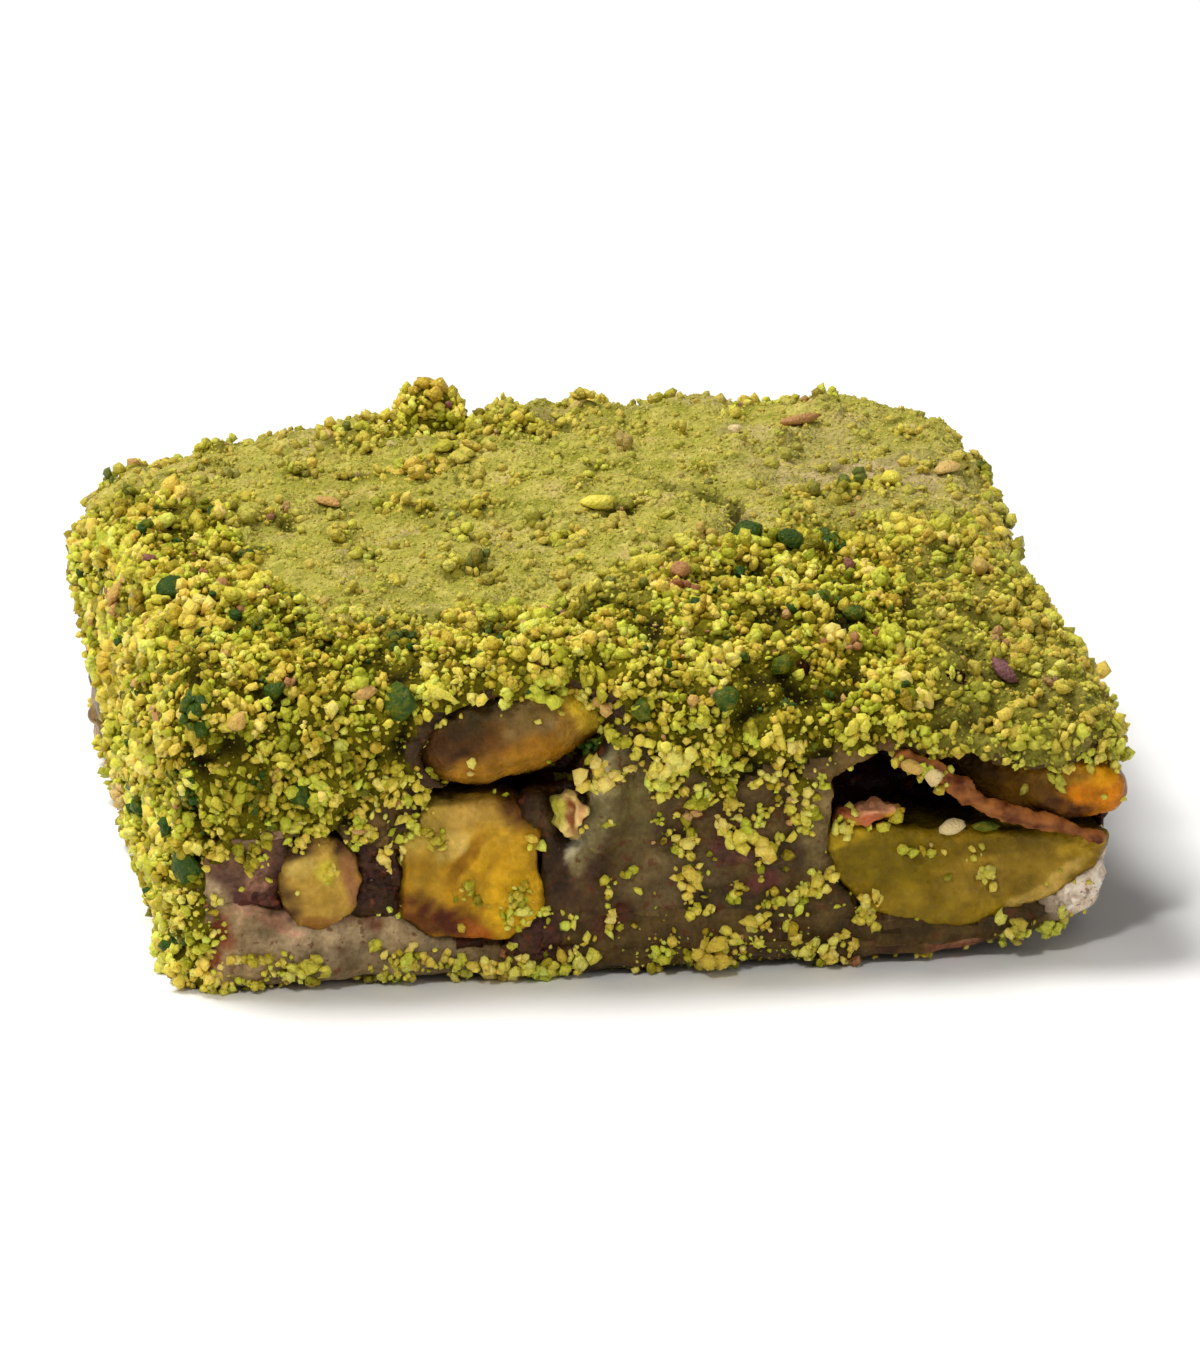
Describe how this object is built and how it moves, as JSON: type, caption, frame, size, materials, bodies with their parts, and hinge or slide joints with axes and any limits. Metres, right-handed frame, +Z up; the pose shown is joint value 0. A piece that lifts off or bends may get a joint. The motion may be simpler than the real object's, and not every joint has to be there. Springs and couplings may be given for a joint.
{
  "type": "turkish delight",
  "caption": "Square of starch jelly layered with cocoa paste, with pistachio kernels in it and a coat of ground pistachio.",
  "frame": {"origin": "middle of the flat underside", "axes": "+Z up, -Y towards the cut front side that shows the most kernels, -X towards the coated left side"},
  "size_m": [0.0438, 0.0406, 0.0172],
  "materials": {
    "ground_pistachio": "matte crumbly coat of ground pistachio, yellow-green",
    "starch_jelly": "translucent greyish starch jelly, soft gloss",
    "cocoa_paste": "dark crumbly cocoa paste",
    "pistachio_kernel": "cut pistachio kernel, yellow to olive, satin",
    "pistachio_skin": "thin dry reddish-brown pistachio skin"
  },
  "bodies": {
    "root": {"lokum_top": "ground_pistachio", "lokum_bottom": "starch_jelly", "cocoa_paste": "cocoa_paste", "pistachio_chip": "pistachio_kernel", "pistachio_round": "pistachio_kernel", "pistachio_upper": "pistachio_kernel", "pistachio_half": "pistachio_kernel", "pistachio_corner": "pistachio_kernel", "pistachio_fragment": "pistachio_kernel", "pistachio_shard": "pistachio_kernel", "pistachio_right": "pistachio_kernel", "pistachio_back": "pistachio_kernel", "pistachio_back_end": "pistachio_kernel", "pistachio_skin": "pistachio_skin"}
  },
  "joints": []
}
